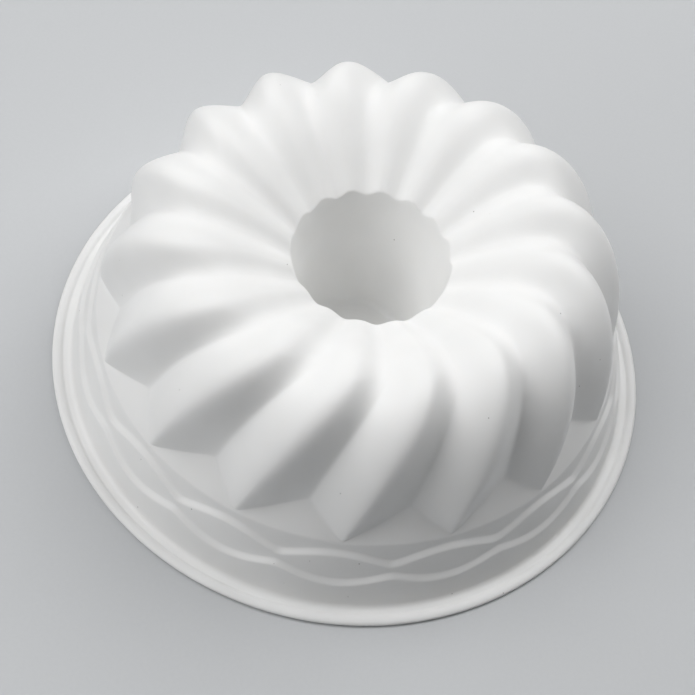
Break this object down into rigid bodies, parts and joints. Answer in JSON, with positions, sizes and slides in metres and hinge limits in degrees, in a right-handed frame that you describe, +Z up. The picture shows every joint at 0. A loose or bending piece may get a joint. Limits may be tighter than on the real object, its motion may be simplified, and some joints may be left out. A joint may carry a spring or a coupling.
{
  "type": "ring cake mould",
  "caption": "Silicone ring cake mould with swirled flutes round a closed centre tube, a flared skirt with two wavy ledges and a wire-stiffened rim.",
  "frame": {"origin": "on the mould's axis, in the plane that the rim stands on", "axes": "+Z up along the mould's axis, from the rim to the crown of the flutes; +X through the tip of one flute"},
  "size_m": [0.25, 0.25, 0.0904],
  "materials": {
    "silicone": "white moulded silicone, satin",
    "hoop_steel": "drawn stainless wire"
  },
  "bodies": {
    "root": {"mould_body": "silicone", "rim_hoop": "hoop_steel"}
  },
  "joints": []
}
